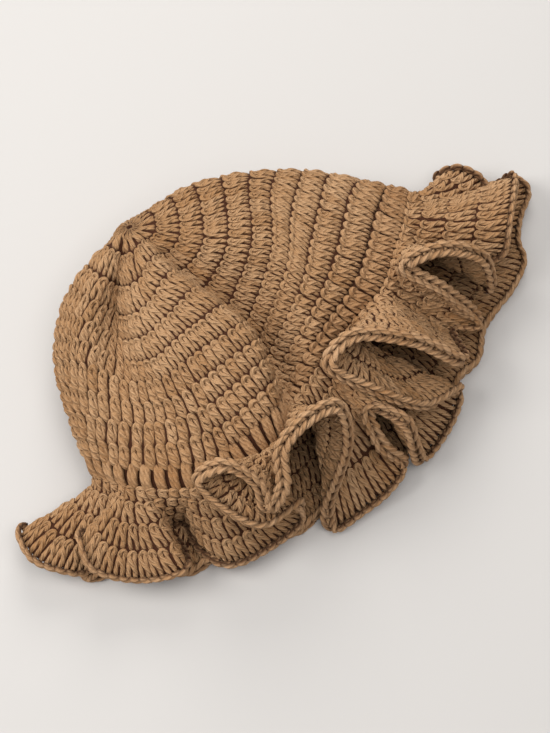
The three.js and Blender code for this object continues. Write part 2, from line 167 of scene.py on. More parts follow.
# How far apart in mm the patterns of the lightest and the deepest strand start.
PATTERN_SHIFT = 10.0

# Places round the crown that the dark backing of painted shade is laid through, the steps that
# a round is measured in before its stitches are spaced, and how far apart the seeds of two
# rounds are.
GROUND_SPOTS = np.arange(3 * STITCHES) / 3
SPACING_STEPS = 6000
SEEDS_A_ROUND = 1000


class StitchKind(Enum):
    """The stitches that the hat is worked in."""

    POST = "post"
    OPEN_POST = "open post"
    TALL_POST = "tall post"
    COLUMN_POST = "column post"


# The strands of each stitch, and the points that each strand passes through: the place
# across the stitch (-0.5 left to 0.5 right, seen with the crown's centre up), the place up it
# (0 foot, 1 head), how far it stands proud of the wall's middle in mm, and the yarn's
# thickness there against its usual one.
STITCH_PATHS: dict[StitchKind, dict[str, tuple[tuple[float, ...], ...]]] = {
    StitchKind.POST: {
        "left leg": (
            (-0.16, -0.06, -1, 0.82), (-0.24, 0.12, 0.2, 0.96), (-0.3, 0.38, 0.6, 1),
            (-0.28, 0.62, 0.6, 1), (-0.2, 0.84, -0.3, 0.9),
        ),
        "right leg": (
            (0.28, -0.06, -1, 0.82), (0.27, 0.12, 0.2, 0.96), (0.22, 0.38, 0.5, 1),
            (0.16, 0.62, 0.5, 1), (0.14, 0.84, -0.3, 0.9),
        ),
        "head": (
            (-0.4, 0.6, -0.7, 0.8), (-0.3, 0.76, 0.7, 1), (-0.06, 0.86, 1.2, 1.12),
            (0.22, 0.83, 0.9, 1.06), (0.42, 0.68, -0.6, 0.82),
        ),
        "wrap": (
            (-0.34, 0.66, -0.2, 0.84), (-0.16, 0.54, 1.1, 1), (0.06, 0.4, 1.5, 1.04),
            (0.26, 0.25, 0.9, 1), (0.38, 0.1, -0.6, 0.84),
        ),
    },
    StitchKind.COLUMN_POST: {
        "left leg": (
            (-0.18, -0.08, -0.4, 0.86), (-0.26, 0.18, 0.1, 0.94), (-0.27, 0.46, 0.2, 0.96),
            (-0.23, 0.72, 0.1, 0.94), (-0.12, 0.94, -0.7, 0.84),
        ),
        "right leg": (
            (0.2, -0.08, -0.5, 0.86), (0.25, 0.18, 0, 0.94), (0.25, 0.46, 0.1, 0.96),
            (0.22, 0.72, 0, 0.94), (0.12, 0.94, -0.8, 0.84),
        ),
        "head": (
            (-0.33, 0.62, -0.4, 0.8), (-0.25, 0.82, 0.8, 0.94), (-0.03, 0.96, 1.5, 1),
            (0.19, 0.86, 1.2, 0.96), (0.32, 0.66, -0.2, 0.8),
        ),
        "lower wrap": (
            (-0.32, 0.38, -0.5, 0.78), (-0.16, 0.23, 1.1, 0.94), (0.1, 0.04, 1.3, 0.96),
            (0.31, -0.12, -0.4, 0.8),
        ),
        "upper wrap": (
            (-0.32, 0.7, -0.5, 0.78), (-0.16, 0.55, 1.1, 0.94), (0.1, 0.36, 1.3, 0.96),
            (0.31, 0.2, -0.4, 0.8),
        ),
    },
    StitchKind.OPEN_POST: {
        "left": (
            (-0.02, -0.1, -1, 0.8), (-0.12, 0.08, 0.2, 1), (-0.2, 0.36, 0.7, 1.12),
            (-0.21, 0.66, 0.7, 1.12), (-0.2, 0.92, 0.2, 1), (-0.18, 1.06, -0.8, 0.8),
        ),
        "right": (
            (0.28, -0.1, -1, 0.8), (0.2, 0.08, 0.5, 1), (0.11, 0.36, 0.9, 1.12),
            (0.13, 0.66, 0.5, 1.12), (0.14, 0.92, 0, 1), (0.14, 1.06, -0.8, 0.8),
        ),
    },
    StitchKind.TALL_POST: {
        "left leg": (
            (-0.14, -0.06, -0.4, 0.84), (-0.24, 0.12, -0.1, 0.98), (-0.29, 0.38, 0, 1.04),
            (-0.27, 0.64, 0, 1.04), (-0.16, 0.88, -0.3, 0.92),
        ),
        "right leg": (
            (0.3, -0.06, -0.4, 0.84), (0.27, 0.12, -0.1, 0.98), (0.21, 0.38, 0, 1.04),
            (0.17, 0.64, 0, 1.04), (0.18, 0.88, -0.3, 0.92),
        ),
        "head": (
            (-0.4, 0.62, -0.5, 0.8), (-0.3, 0.77, 0.4, 1), (-0.05, 0.87, 0.5, 1.1),
            (0.22, 0.84, 0.4, 1.04), (0.42, 0.7, -0.5, 0.82),
        ),
        "outer wrap": (
            (-0.34, 0.66, -0.1, 0.84), (-0.15, 0.52, 0.9, 1), (0.07, 0.38, 1.1, 1.02),
            (0.26, 0.23, 0.7, 1), (0.38, 0.08, -0.4, 0.84),
        ),
        "inner wrap": (
            (0.34, 0.7, -0.2, 0.84), (0.12, 0.52, -1, 1), (-0.12, 0.34, -1.1, 1),
            (-0.34, 0.12, -0.2, 0.84),
        ),
    },
}


def curve_slopes(knots: np.ndarray, spans: np.ndarray, points: np.ndarray) -> np.ndarray:
    """Finds the slope of a smooth curve at each of its points.

    Args:
        knots: rising knot of each point.
        spans: distance from each knot to the next.
        points: the points, one row each.

    Returns:
        The slopes, one row each; the first and the last are left at zero.
    """
    steps = (points[1:] - points[:-1]) / spans[:, None]
    slopes = np.zeros_like(points)
    weighed = steps[:-1] * spans[1:, None] + steps[1:] * spans[:-1, None]
    slopes[1:-1] = weighed / (knots[2:] - knots[:-2])[:, None]
    return slopes


def hermite(
    start: np.ndarray,
    leave: np.ndarray,
    end: np.ndarray,
    arrive: np.ndarray,
    share: np.ndarray,
) -> np.ndarray:
    """The cubic from start to end at a share of the way.

    Args:
        start: first point.
        leave: slope at the first point, over the whole way.
        end: last point.
        arrive: slope at the last point, over the whole way.
        share: 0 at the start to 1 at the end, with a last axis of one.

    Returns:
        The points on the cubic.
    """
    two = share * share
    three = two * share
    return (
        (2 * three - 3 * two + 1) * start
        + (three - 2 * two + share) * leave
        + (3 * two - 2 * three) * end
        + (three - two) * arrive
    )


def unit(vectors: np.ndarray) -> np.ndarray:
    """Each vector at length one."""
    return vectors / np.maximum(np.linalg.norm(vectors, axis=-1, keepdims=True), TINY)


def raised(points: np.ndarray, least: np.ndarray | float) -> np.ndarray:
    """Lifts the points that lie too low.

    Args:
        points: the points.
        least: the height that none may be under.

    Returns:
        A copy of them with none lower than that.
    """
    lifted = points.copy()
    lifted[..., 2] = np.maximum(lifted[..., 2], least)
    return lifted


def evened(values: np.ndarray, reach: int = 4) -> np.ndarray:
    """Values round a closed row, each averaged with its neighbours up to a reach away."""
    return sum(np.roll(values, shift) for shift in range(-reach, reach + 1)) / (2 * reach + 1)


class ClosedCurve:
    """A smooth closed curve through points at rising knots that repeat after a period."""

    def __init__(self, knots: np.ndarray, points: np.ndarray, period: float) -> None:
        """Repeats the curve's ends past each other and finds its slopes.

        Args:
            knots: rising knots.
            points: one row for each knot.
            period: distance after which the curve repeats.
        """
        self.start = float(knots[0])
        self.period = period
        self.knots = np.concatenate([knots[-2:] - period, knots, knots[:3] + period])
        self.points = np.concatenate([points[-2:], points, points[:3]])
        self.spans = np.diff(self.knots)
        self.slopes = curve_slopes(self.knots, self.spans, self.points)

    def at(self, place: np.ndarray) -> np.ndarray:
        """The curve's points at places along it.

        Args:
            place: the places, in the measure of the knots.

        Returns:
            The points, with one more axis than the places.
        """
        where = (np.asarray(place) - self.start) % self.period + self.start
        i = np.clip(np.searchsorted(self.knots, where, side="right") - 1, 2, len(self.knots) - 4)
        span = self.spans[i][..., None]
        share = (where - self.knots[i])[..., None] / span
        return hermite(
            self.points[i], self.slopes[i] * span,
            self.points[i + 1], self.slopes[i + 1] * span, share,
        )


@dataclass(frozen=True)
class LowerPleats:
    """The even shallow pleats of the ruffle that lie under the crown.

    They go round to the last stitch. Their way out leans sideways by first_lean at the first
    turn and by fan less at the last, and every other turn has the second reach and height.
    """

    count: int = 20
    last_stitch: float = -33.5
    first_lean: float = 0.5
    fan: float = 2.0
    reaches: tuple[float, float] = (53.0, 49.0)
    heights: tuple[float, float] = (HEM_LIE, 6.0)


class HatSurface:
    """The middle of the hat's wall, as it lies folded on the table."""

    # The rounds at which the fold lines are given.
    STATIONS = np.array((0.0, 3.0, 6.0, 8.5, RIM_ROUND))
    # How the ruffle leaves the rim: its slope as a share of its reach, the least reach that
    # counts, and the rise of the hem that turns the slope up by one, with its limits.
    LEAVING = 0.45
    LEAST_REACH = 40.0
    FLARE_HEIGHT = 40.0
    FLARE_LIMITS = (-0.2, 0.8)

    def __init__(self) -> None:
        """Draws the four hoops of the crown and the hem."""
        rows = sorted(CROWN_FOLDS, key=lambda row: row[1])
        stitches = np.array([row[1] for row in rows], float)
        self.hoops = [
            ClosedCurve(stitches, np.array([row[2 + i] for row in rows], float), STITCHES)
            for i in range(4)
        ]
        self.make_hem()

    def make_hem(self) -> None:
        """Runs the hem through its turns, those under the crown included."""
        table = [turn for pleat in HEM_TURNS.values() for turn in pleat]
        turns = np.array(sorted(table + self.lower_turns(table[-1][0])), float)
        places = turns[:, 1:]
        steps = np.sqrt(np.linalg.norm(np.roll(places, -1, axis=0) - places, axis=1))
        knots = np.concatenate([[0.0], np.cumsum(steps[:-1])])
        period = float(knots[-1] + steps[-1])
        ahead = turns[:, :1] - STITCHES * knots[:, None] / period
        self.turn_knots = knots
        self.hem = ClosedCurve(knots, places, period)
        self.ahead = ClosedCurve(knots, ahead, period)

    def lower_turns(self, first: float) -> list[tuple]:
        """The hem's turns under the crown.

        Args:
            first: the stitch of the rim where they begin.

        Returns:
            Rows of stitch, x, y and z.
        """
        pleats = LowerPleats()
        turns = []
        for k in range(pleats.count):
            stitch = first + (pleats.last_stitch - first) * (k + 1) / (pleats.count + 1)
            lean = pleats.first_lean - pleats.fan * k / (pleats.count - 1)
            rim = self.crown(np.array([stitch]), np.array([RIM_ROUND]))[0]
            place = rim + unit(np.array((lean, -1.0, 0.0))) * pleats.reaches[k % 2]
            turns.append((stitch, place[0], place[1], pleats.heights[k % 2]))
        return turns

    def crown_lines(self, stitch: np.ndarray) -> tuple[np.ndarray, np.ndarray]:
        """The lines from the centre to the rim along some stitches.

        Args:
            stitch: the stitches, as a flat array.

        Returns:
            The points and the slopes of each line at the five stations.
        """
        turn = 2 * np.pi * (stitch - CENTRE_STITCH) / STITCHES
        leave = ROUND_HEIGHT * (
            unit(CENTRE_ACROSS) * np.cos(turn)[:, None]
            + unit(CENTRE_FORWARD) * np.sin(turn)[:, None]
        )
        middle = np.broadcast_to(CENTRE, (len(stitch), 3))
        points = np.stack([middle] + [hoop.at(stitch) for hoop in self.hoops])
        spans = np.diff(self.STATIONS)[:, None, None]
        steps = np.diff(points, axis=0) / spans
        slopes = np.zeros_like(points)
        slopes[0] = leave
        weighed = steps[:-1] * spans[1:] + steps[1:] * spans[:-1]
        slopes[1:-1] = weighed / (spans[1:] + spans[:-1])
        slopes[-1] = 1.5 * steps[-1] - 0.5 * slopes[-2]
        return points, slopes

    def crown(self, stitch: np.ndarray, rnd: np.ndarray) -> np.ndarray:
        """Places on the crown.

        Args:
            stitch: how far round the hat each place is.
            rnd: how many rounds out from the centre it is.

        Returns:
            The points in millimetres, before the hat is centred.
        """
        stitch, rnd = np.broadcast_arrays(np.asarray(stitch, float), np.asarray(rnd, float))
        shape = stitch.shape
        flat, out = stitch.ravel(), rnd.ravel()
        points, slopes = self.crown_lines(flat)
        i = np.clip(np.searchsorted(self.STATIONS, out, side="right") - 1, 0, 3)
        span = np.diff(self.STATIONS)[i][:, None]
        share = (out - self.STATIONS[i])[:, None] / span
        each = np.arange(len(flat))
        place = hermite(
            points[i, each], slopes[i, each] * span,
            points[i + 1, each], slopes[i + 1, each] * span, share,
        )
        return raised(place, CROWN_LIE).reshape(shape + (3,))

    def root(self, along: np.ndarray) -> np.ndarray:
        """The stitch of the rim that each place along the hem hangs from."""
        return self.ahead.at(along)[..., 0] + STITCHES * along / self.hem.period

    def ruffle(self, along: np.ndarray, out: np.ndarray) -> np.ndarray:
        """Places on the ruffle.

        Args:
            along: how far along the hem each place is.
            out: share of the way from the rim to the hem.

        Returns:
            The points in millimetres, before the hat is centred.
        """
        along, out = np.broadcast_arrays(np.asarray(along, float), np.asarray(out, float))
        shape = along.shape
        flat, share = along.ravel(), out.ravel()[:, None]
        points, slopes = self.crown_lines(self.root(flat))
        rim = raised(points[-1], CROWN_LIE)
        edge = raised(self.hem.at(flat), HEM_LIE)
        across = edge - rim
        leave = unit(slopes[-1])
        leave[:, 2] += np.clip(across[:, 2] / self.FLARE_HEIGHT, *self.FLARE_LIMITS)
        reach = np.maximum(np.linalg.norm(across, axis=1, keepdims=True), self.LEAST_REACH)
        leave = unit(leave) * reach * self.LEAVING
        arrive = 1.5 * across - 0.5 * leave
        place = hermite(rim, leave, edge, arrive, share)
        least = CROWN_LIE + (RUFFLE_LIE - CROWN_LIE) * share[:, 0]
        return raised(place, least).reshape(shape + (3,))


@dataclass(frozen=True)
class Sheet:
    """One part of the surface, with its own across and out directions.

    A place on it is a pair of numbers, across and out, and out goes up to most. Its faces
    look out of the hat.
    """

    surface: HatSurface
    is_ruffle: bool
    most: float

    def place(self, across: np.ndarray, out: np.ndarray) -> np.ndarray:
        """Places on the sheet.

        Args:
            across: first number of each place.
            out: second number of each place.

        Returns:
            The points in millimetres, before the hat is centred.
        """
        if self.is_ruffle:
            return self.surface.ruffle(across, out)
        return self.surface.crown(across, out)

    def frame(
        self, across: np.ndarray, out: np.ndarray
    ) -> tuple[np.ndarray, np.ndarray, np.ndarray, np.ndarray]:
        """The sheet's directions at places on it.

        Args:
            across: first number of each place.
            out: second number of each place.

        Returns:
            The place, the outward facing direction, the length of one unit across, and how
            far across the sheet a line square to the rounds goes for one unit out.
        """
        step_across = 0.04 if self.is_ruffle else 0.08
        step_out = 0.02 if self.is_ruffle else 0.06
        inner = np.clip(out - step_out, 0.0, self.most - 2 * step_out)
        outer = inner + 2 * step_out
        side = self.place(across + step_across, out) - self.place(across - step_across, out)
        down = self.place(across, outer) - self.place(across, inner)
        width = np.linalg.norm(side, axis=-1) / (2 * step_across)
        dot = np.sum(side * down, axis=-1) / np.maximum(np.sum(side * side, axis=-1), TINY)
        skew = -dot * step_across / step_out
        return self.place(across, out), unit(np.cross(side, down)), width, skew


@dataclass
class Strands:
    """Many lengths of yarn of the same number of points, before they are given a body.

    Each array has a row for each strand and a column for each of its points: where the point
    lies, which way the wall faces there, and the yarn's radius, tone and painted shade, the
    share by which its colour is darkened towards the shadow colour. Yarn that shows on both
    sides of the wall gets painted shade on its flanks only.
    """

    places: np.ndarray
    facing: np.ndarray
    radius: np.ndarray
    tone: np.ndarray
    depth: np.ndarray
    two_sided: bool = False


@dataclass
class MeshData:
    """Arrays that one mesh is made from."""

    points: list[np.ndarray] = field(default_factory=list)
    quads: list[np.ndarray] = field(default_factory=list)
    quad_uvs: list[np.ndarray] = field(default_factory=list)
    caps: list[np.ndarray] = field(default_factory=list)
    tones: list[np.ndarray] = field(default_factory=list)
    painted_shades: list[np.ndarray] = field(default_factory=list)
    count: int = 0

    def add_strands(self, strands: Strands, sides: int) -> None:
        """Gives a round body with closed ends to every strand.

        Args:
            strands: the yarn's paths.
            sides: number of faces round the yarn.
        """
        places, number, length = strands.places, *strands.places.shape[:2]
        tangent = unit(np.gradient(places, axis=1))
        up = strands.facing - tangent * np.sum(strands.facing * tangent, -1, keepdims=True)
        up = unit(up)
        side = np.cross(tangent, up)
        angle = 2 * np.pi * np.arange(sides) / sides
        ring = (
            up[:, :, None] * np.cos(angle)[:, None] + side[:, :, None] * np.sin(angle)[:, None]
        )
        points = places[:, :, None] + ring * strands.radius[:, :, None, None]
        start = self.count
        index = start + np.arange(number * length * sides).reshape(number, length, sides)
        after = np.roll(index, -1, axis=2)
        quads = np.stack([index[:, :-1], after[:, :-1], after[:, 1:], index[:, 1:]], axis=-1)
        travel = np.linalg.norm(np.diff(places, axis=1), axis=2)
        travel = np.concatenate([np.zeros((number, 1)), np.cumsum(travel, axis=1)], axis=1)
        travel += PATTERN_SHIFT * strands.tone[:, :1]
        around = np.arange(sides + 1) / sides
        low = np.broadcast_to(travel[:, :-1, None], quads.shape[:3])
        high = np.broadcast_to(travel[:, 1:, None], quads.shape[:3])
        near = np.broadcast_to(around[:-1], quads.shape[:3])
        far = np.broadcast_to(around[1:], quads.shape[:3])
        uvs = np.stack([
            np.stack([low, near], -1), np.stack([low, far], -1),
            np.stack([high, far], -1), np.stack([high, near], -1),
        ], axis=-2)
        self.points.append(points.reshape(-1, 3))
        self.quads.append(quads.reshape(-1, 4))
        self.quad_uvs.append(uvs.reshape(-1, 2))
        self.caps.append(index[:, 0, ::-1])
        self.caps.append(index[:, -1])
        self.tones.append(np.repeat(strands.tone.reshape(-1), sides))
        # Painted shade: the yarn is darkened on its flanks and on its side that faces into the
        # wall.
        upward = np.abs(np.cos(angle)) if strands.two_sided else np.cos(angle)
        flank = np.clip(FLANK_SHADE - FLANK_FADE * upward, 0.0, FLANK_MOST)
        self.painted_shades.append(np.maximum(strands.depth[..., None], flank).reshape(-1))
        self.count += points.size // 3

    def add_shell(self, outer: np.ndarray, inner: np.ndarray) -> None:
        """Adds a closed shell between an outer and an inner sheet of closed rings.

        Args:
            outer: points of the outer sheet, rows by places round it.
            inner: points of the inner sheet.
        """
        rows, around = outer.shape[:2]
        index = self.count + np.arange(2 * rows * around).reshape(2, rows, around)
        after = np.roll(index, -1, axis=2)
        top, under = index
        top_after, under_after = after
        sheets = [
            np.stack([top[:-1], top_after[:-1], top_after[1:], top[1:]], -1),
            np.stack([under[:-1], under[1:], under_after[1:], under_after[:-1]], -1),
            np.stack([top[-1], top_after[-1], under_after[-1], under[-1]], -1),
            np.stack([top[0], under[0], under_after[0], top_after[0]], -1),
        ]
        quads = np.concatenate([sheet.reshape(-1, 4) for sheet in sheets])
        points = np.concatenate([outer.reshape(-1, 3), inner.reshape(-1, 3)])
        self.points.append(points)
        self.quads.append(quads)
        self.quad_uvs.append(np.zeros((len(quads) * 4, 2)))
        self.tones.append(np.full(len(points), 0.5))
        # Painted shade: the shell is in the shadow colour all over.
        self.painted_shades.append(np.ones(len(points)))
        self.count += len(points)

    def build(self, name: str) -> bpy.types.Object:
        """Makes the object, in metres and centred as the CAD model is.

        Args:
            name: the piece's name.

        Returns:
            The object, at the origin.
        """
        points = (np.concatenate(self.points) - MIDDLE) * MILLIMETRE
        quads = np.concatenate(self.quads)
        caps = np.concatenate(self.caps) if self.caps else np.zeros((0, 3), int)
        loops = np.concatenate([quads.ravel(), caps.ravel()])
        starts = np.concatenate([
            np.arange(len(quads)) * 4, len(quads) * 4 + np.arange(len(caps)) * caps.shape[1],
        ])
        mesh = bpy.data.meshes.new(name)
        mesh.vertices.add(len(points))
        mesh.vertices.foreach_set("co", points.astype(np.float32).ravel())
        mesh.loops.add(len(loops))
        mesh.loops.foreach_set("vertex_index", loops.astype(np.int32))
        mesh.polygons.add(len(starts))
        mesh.polygons.foreach_set("loop_start", starts.astype(np.int32))
        uvs = np.zeros((len(loops), 2), np.float32)
        uvs[: len(quads) * 4] = np.concatenate(self.quad_uvs)
        mesh.uv_layers.new(name="yarn").data.foreach_set("uv", uvs.ravel())
        for title, values in (("tone", self.tones), ("depth", self.painted_shades)):
            attribute = mesh.attributes.new(title, "FLOAT", "POINT")
            attribute.data.foreach_set("value", np.concatenate(values).astype(np.float32))
        mesh.update(calc_edges=True)
        mesh.validate()
        piece = bpy.data.objects.new(name, mesh)
        bpy.context.scene.collection.objects.link(piece)
        select_only(piece)
        bpy.ops.object.shade_smooth()
        return piece


def select_only(piece: bpy.types.Object) -> None:
    """Selects one object, makes it active and deselects the rest.

    Args:
        piece: the object.
    """
    bpy.ops.object.select_all(action="DESELECT")
    piece.select_set(True)
    bpy.context.view_layer.objects.active = piece


def strand_paths(kind: StitchKind, steps: int) -> list[np.ndarray]:
    """The smooth paths of a stitch's strands.

    Args:
        kind: which stitch.
        steps: points between one point of its table and the next.

    Returns:
        For each strand, rows of across, up, proud and thick.
    """
    paths = []
    for strand in STITCH_PATHS[kind].values():
        knots = np.array(strand, float)
        before = 2 * knots[0] - knots[1]
        after = 2 * knots[-1] - knots[-2]
        held = np.vstack([before, knots, after])
        slopes = (held[2:] - held[:-2]) / 2
        share = (np.arange(steps) / steps)[:, None]
        parts = [
            hermite(knots[i], slopes[i], knots[i + 1], slopes[i + 1], share)
            for i in range(len(knots) - 1)
        ]
        paths.append(np.vstack(parts + [knots[-1:]]))
    return paths


class NodeBench:
    """A shader node tree that is being wired, with the few kinds of node that yarn needs."""

    def __init__(self, tree: bpy.types.NodeTree) -> None:
        """Takes up a tree."""
        self.tree = tree

    def add(self, kind: str) -> bpy.types.Node:
        """A new node of a kind."""
        return self.tree.nodes.new(kind)

    def feed(self, value: bpy.types.NodeSocket | float, socket: bpy.types.NodeSocket) -> None:
        """Feeds a socket.

        Args:
            value: the socket or the number that it takes its value from.
            socket: the socket that is fed.
        """
        if isinstance(value, (int, float)):
            socket.default_value = value
        else:
            self.tree.links.new(value, socket)

    def math(
        self, operation: str, *values: bpy.types.NodeSocket | float, clamped: bool = False
    ) -> bpy.types.NodeSocket:
        """Adds a math node.

        Args:
            operation: what it does.
            values: what it does it to.
            clamped: whether its result is held between 0 and 1.

        Returns:
            Its output.
        """
        node = self.add("ShaderNodeMath")
        node.operation = operation
        node.use_clamp = clamped
        for value, socket in zip(values, node.inputs):
            self.feed(value, socket)
        return node.outputs[0]

    def mixed(
        self,
        share: bpy.types.NodeSocket,
        first: bpy.types.NodeSocket,
        second: bpy.types.NodeSocket,
    ) -> bpy.types.NodeSocket:
        """Adds a mix of two colours.

        Args:
            share: how much of the second colour there is.
            first: the first colour.
            second: the second colour.

        Returns:
            Its output.
        """
        node = self.add("ShaderNodeMix")
        node.data_type = "RGBA"
        colours = [socket for socket in node.inputs if socket.type == "RGBA"]
        self.feed(share, node.inputs["Factor"])
        self.feed(first, colours[0])
        self.feed(second, colours[1])
        return next(socket for socket in node.outputs if socket.type == "RGBA")

    def noise(
        self, vector: bpy.types.NodeSocket, scale: float, detail: float
    ) -> bpy.types.NodeSocket:
        """Adds a noise texture.

        Args:
            vector: where it is read.
            scale: how fine it is.
            detail: how many finer layers it has.

        Returns:
            Its grey output.
        """
        node = self.add("ShaderNodeTexNoise")
        node.inputs["Scale"].default_value = scale
        node.inputs["Detail"].default_value = detail
        self.feed(vector, node.inputs["Vector"])
        return node.outputs["Fac"]

    def attribute(self, name: str) -> bpy.types.NodeSocket:
        """Adds a reading of one of the mesh's attributes.

        Args:
            name: the attribute's name.

        Returns:
            Its value.
        """
        node = self.add("ShaderNodeAttribute")
        node.attribute_name = name
        return node.outputs["Fac"]


class YarnFibre:
    """The node group that gives any yarn its twist, its fibres, its shade of colour and its
    painted shade.
    """

    NAME = "yarn_fibre"
    SOCKETS = (
        ("Light yarn", "INPUT", "NodeSocketColor"),
        ("Deep yarn", "INPUT", "NodeSocketColor"),
        ("Shadow", "INPUT", "NodeSocketColor"),
        ("Plies", "INPUT", "NodeSocketFloat"),
        ("Twist", "INPUT", "NodeSocketFloat"),
        ("Fibre", "INPUT", "NodeSocketFloat"),
        ("Colour", "OUTPUT", "NodeSocketColor"),
        ("Roughness", "OUTPUT", "NodeSocketFloat"),
        ("Height", "OUTPUT", "NodeSocketFloat"),
    )
    # Fibres to a millimetre along the yarn, and to a turn round it.
    FIBRES_ALONG = 1.3
    FIBRES_ROUND = 11.0
    FIBRE_DETAIL = 3.0
    # The fineness of the fuzz and of the broad patches of shade, over the whole hat.
    FUZZ_SCALE = 900.0
    PATCH_SCALE = 16.0
    BROAD_DETAIL = 2.0
    # How far the stitch's tone, the patches and the fibres take the yarn towards its deep colour,
    # and how much painted shade darkens the grooves between the plies against their crests.
    TONE_SHARE = 0.42
    PATCH_SHARE = 0.55
    FIBRE_SHARE = 0.22
    PLY_PAINTED_SHADE = 0.2
    # The least roughness, what the fuzz adds to it, and the fibres' height against the fuzz's.
    ROUGHNESS = 0.78
    FUZZ_ROUGHNESS = 0.2
    FIBRE_HEIGHT = 0.6

    @classmethod
    def group(cls) -> bpy.types.NodeTree:
        """The group, made the first time that it is asked for."""
        return bpy.data.node_groups.get(cls.NAME) or cls.make()

    @classmethod
    def make(cls) -> bpy.types.NodeTree:
        """Builds the group.

        Returns:
            A shader group with colour, roughness and height outputs.
        """
        tree = bpy.data.node_groups.new(cls.NAME, "ShaderNodeTree")
        for name, way, kind in cls.SOCKETS:
            tree.interface.new_socket(name=name, in_out=way, socket_type=kind)
        cls.wire(NodeBench(tree))
        return tree

    @classmethod
    def wire(cls, bench: NodeBench) -> None:
        """Places and links the group's nodes.

        Args:
            bench: the group's tree.
        """
        given, out = bench.add("NodeGroupInput").outputs, bench.add("NodeGroupOutput").inputs
        uv, split = bench.add("ShaderNodeUVMap"), bench.add("ShaderNodeSeparateXYZ")
        uv.uv_map = "yarn"
        bench.feed(uv.outputs[0], split.inputs[0])
        along, around = split.outputs[0], split.outputs[1]

        run = bench.math("MULTIPLY", along, given["Twist"])
        turn = bench.math("MULTIPLY", around, given["Plies"])
        phase = bench.math("MULTIPLY", bench.math("ADD", turn, run), math.tau)
        ply = bench.math("MULTIPLY_ADD", bench.math("SINE", phase), 0.5, 0.5)

        stretch = bench.add("ShaderNodeCombineXYZ")
        bench.feed(bench.math("MULTIPLY", along, cls.FIBRES_ALONG), stretch.inputs[0])
        twisted = bench.math("ADD", around, run)
        bench.feed(bench.math("MULTIPLY", twisted, cls.FIBRES_ROUND), stretch.inputs[1])
        fibres = bench.noise(stretch.outputs[0], 1.0, cls.FIBRE_DETAIL)
        place = bench.add("ShaderNodeTexCoord").outputs["Object"]
        fuzz = bench.noise(place, cls.FUZZ_SCALE, cls.BROAD_DETAIL)
        patches = bench.noise(place, cls.PATCH_SCALE, cls.BROAD_DETAIL)

        shade = bench.math(
            "ADD",
            bench.math("MULTIPLY", bench.attribute("tone"), cls.TONE_SHARE),
            bench.math("MULTIPLY", patches, cls.PATCH_SHARE),
        )
        shade = bench.math("ADD", shade, bench.math("MULTIPLY", fibres, cls.FIBRE_SHARE))
        # Painted shade: the ply's grooves are painted darker and its crests lighter, by the same
        # wave as its relief.
        ply_painted_shade = bench.math("MULTIPLY", ply, cls.PLY_PAINTED_SHADE)
        shade = bench.math("SUBTRACT", shade, ply_painted_shade, clamped=True)
        yarn = bench.mixed(shade, given["Light yarn"], given["Deep yarn"])
        # Painted shade: the colour is darkened towards the shadow colour by the mesh's attribute
        # of painted shade.
        bench.feed(bench.mixed(bench.attribute("depth"), yarn, given["Shadow"]), out["Colour"])

        rough = bench.math("MULTIPLY_ADD", fuzz, cls.FUZZ_ROUGHNESS, cls.ROUGHNESS)
        bench.feed(rough, out["Roughness"])
        hair = bench.math("MULTIPLY_ADD", fibres, cls.FIBRE_HEIGHT, fuzz)
        hair = bench.math("MULTIPLY", hair, given["Fibre"])
        bench.feed(bench.math("ADD", ply, hair), out["Height"])


@dataclass(frozen=True)
class YarnFinish:
    """A yarn: its colours, how it is twisted, how much it is fuzzed and how it shines.

    Colours are display colours of 0 to 255, and the shadow colour is the painted shade that the
    yarn is darkened towards in its hollows and on its flanks; the twist is in plies for each
    millimetre, and the relief is how deep the bumps are in metres.
    """

    name: str
    light: tuple[float, float, float]
    deep: tuple[float, float, float]
    shadow: tuple[float, float, float]
    plies: float = 3.0
    twist: float = 0.2
    fibre: float = 0.8
    bump: float = 1.0
    relief: float = 0.0008
    sheen: float = 0.12
    sheen_spread: float = 0.45
    sheen_tint: tuple[float, float, float] = (226, 184, 140)
    gloss: float = 0.25

    def material(self) -> bpy.types.Material:
        """Makes the yarn's material, or finds it.

        Returns:
            The material.
        """
        found = bpy.data.materials.get(self.name)
        if found:
            return found
        made = bpy.data.materials.new(self.name)
        made.use_nodes = True
        tree = made.node_tree
        shader = tree.nodes["Principled BSDF"]
        fibre = tree.nodes.new("ShaderNodeGroup")
        fibre.node_tree = YarnFibre.group()
        colours = (("Light yarn", self.light), ("Deep yarn", self.deep), ("Shadow", self.shadow))
        for socket, colour in colours:
            fibre.inputs[socket].default_value = linear(colour)
        fibre.inputs["Plies"].default_value = self.plies
        fibre.inputs["Twist"].default_value = self.twist
        fibre.inputs["Fibre"].default_value = self.fibre
        bump = tree.nodes.new("ShaderNodeBump")
        bump.inputs["Strength"].default_value = self.bump
        bump.inputs["Distance"].default_value = self.relief
        tree.links.new(fibre.outputs["Height"], bump.inputs["Height"])
        tree.links.new(fibre.outputs["Colour"], shader.inputs["Base Color"])
        tree.links.new(fibre.outputs["Roughness"], shader.inputs["Roughness"])
        tree.links.new(bump.outputs["Normal"], shader.inputs["Normal"])
        shader.inputs["Sheen Weight"].default_value = self.sheen
        shader.inputs["Sheen Roughness"].default_value = self.sheen_spread
        shader.inputs["Sheen Tint"].default_value = linear(self.sheen_tint)
        shader.inputs["Specular IOR Level"].default_value = self.gloss
        return made


def linear(colour: tuple[float, float, float]) -> tuple[float, float, float, float]:
    """A display colour as the shader takes it, by the sRGB curve.

    Args:
        colour: red, green and blue, 0 to 255.

    Returns:
        The linear red, green and blue, and a full alpha.
    """
    shares = [part / 255 for part in colour]
    red, green, blue = (
        s / 12.92 if s < 0.04045 else ((s + 0.055) / 1.055) ** 2.4 for s in shares
    )
    return red, green, blue, 1.0


TAN = YarnFinish("tan_yarn", (194, 157, 119), (148, 104, 61), (54, 24, 7))
